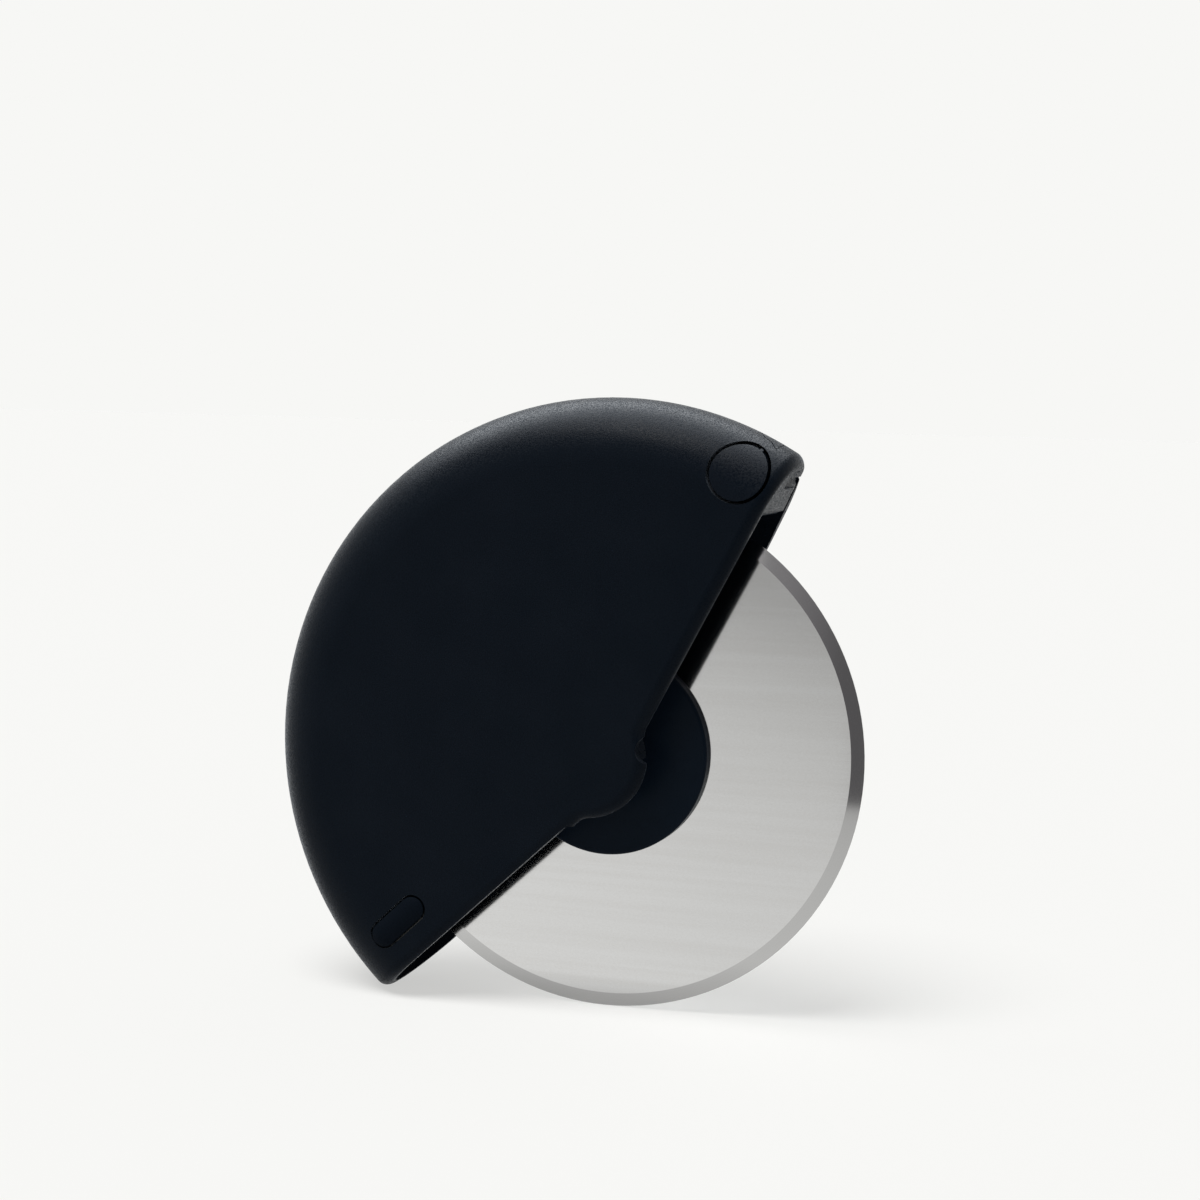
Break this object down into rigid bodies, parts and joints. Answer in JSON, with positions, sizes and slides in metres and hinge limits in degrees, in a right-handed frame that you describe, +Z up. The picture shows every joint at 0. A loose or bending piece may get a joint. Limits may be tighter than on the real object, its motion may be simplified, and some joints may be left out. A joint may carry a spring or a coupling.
{
  "type": "palm pizza cutter",
  "caption": "Palm-held pizza cutter: a round steel blade on a hub in a black two-part housing, whose front half swings open for cleaning.",
  "frame": {"origin": "centre of the bounding box in X and Y, on the floor that the blade's lowest point and the housing's lower left corner stand on", "axes": "+Z up as in the picture, +X to the right along the blade's plane, towards the open mouth, +Y away from the viewer along the axle"},
  "size_m": [0.1174, 0.0262, 0.118],
  "materials": {
    "shell_black": "fine grained, matte",
    "hub_black": "matte",
    "blade_steel": "satin with a fine horizontal grain",
    "pin_steel": "turned",
    "screw_steel": "plated",
    "spring_steel": "rolled",
    "bearing_white": "smooth"
  },
  "bodies": {
    "base": {"rear_shell": "shell_black", "axle_pin": "pin_steel", "axle_washers": "bearing_white", "pivot_post": "shell_black", "pivot_washer": "spring_steel", "shell_screws": "screw_steel", "catch_leaf": "spring_steel", "leaf_screw": "screw_steel"},
    "wheel": {"blade": "blade_steel", "hub_front": "hub_black", "hub_rear": "hub_black", "hub_bush": "bearing_white"},
    "cover": {"front_shell": "shell_black"},
    "button": {"latch_button": "shell_black"}
  },
  "joints": [
    {"name": "wheel_spin", "type": "hinge", "parent": "base", "child": "wheel", "pos_m": [0.00873, 0.0003, 0.05], "axis": [0, 1, 0], "continuous": true},
    {"name": "cover_swing", "type": "hinge", "parent": "base", "child": "cover", "pos_m": [0.03552, 0.0003, 0.1047], "axis": [0, 1, 0], "range_deg": [0, 110]},
    {"name": "latch_press", "type": "slide", "parent": "cover", "child": "button", "axis": [0, 1, 0], "range_m": [0, 0.002], "stiffness_N_per_m": 3600, "deforming": ["catch_leaf"]}
  ]
}
